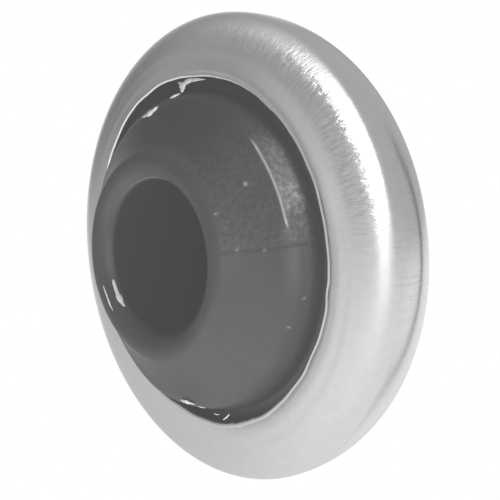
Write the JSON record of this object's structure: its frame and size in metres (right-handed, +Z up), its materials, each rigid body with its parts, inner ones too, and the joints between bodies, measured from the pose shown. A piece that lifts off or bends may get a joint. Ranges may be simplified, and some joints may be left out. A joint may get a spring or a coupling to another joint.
{
  "type": "concave wall door stop",
  "caption": "Concave wall door stop: a stamped metal cover ring traps a rubber bumper whose deep round recess clears a door knob's button, screwed to the wall through its centre.",
  "frame": {"origin": "centre of the stop on the wall plane", "axes": "+Z up; +Y into the wall along the stop's axis, so the rubber faces -Y; +X along the wall"},
  "size_m": [0.0636, 0.0432, 0.0636],
  "materials": {
    "brushed_stainless": "satin, brushed across the ring",
    "grey_rubber": "fine matt moulded skin",
    "zinc_plated_steel": "dull zinc plate",
    "bright_screw_steel": "bright zinc plate",
    "grey_nylon": "moulded"
  },
  "bodies": {
    "base": {"cover_ring": "brushed_stainless", "back_plate": "zinc_plated_steel", "screw_washer": "zinc_plated_steel", "mounting_screw": "bright_screw_steel", "wall_anchor": "grey_nylon"},
    "bumper": {"rubber_bumper": "grey_rubber"}
  },
  "joints": [
    {"name": "bumper_compression", "type": "slide", "parent": "base", "child": "bumper", "axis": [0, 1, 0], "range_m": [0, 0.003], "stiffness_N_per_m": 10000, "deforming": ["rubber_bumper"]}
  ]
}
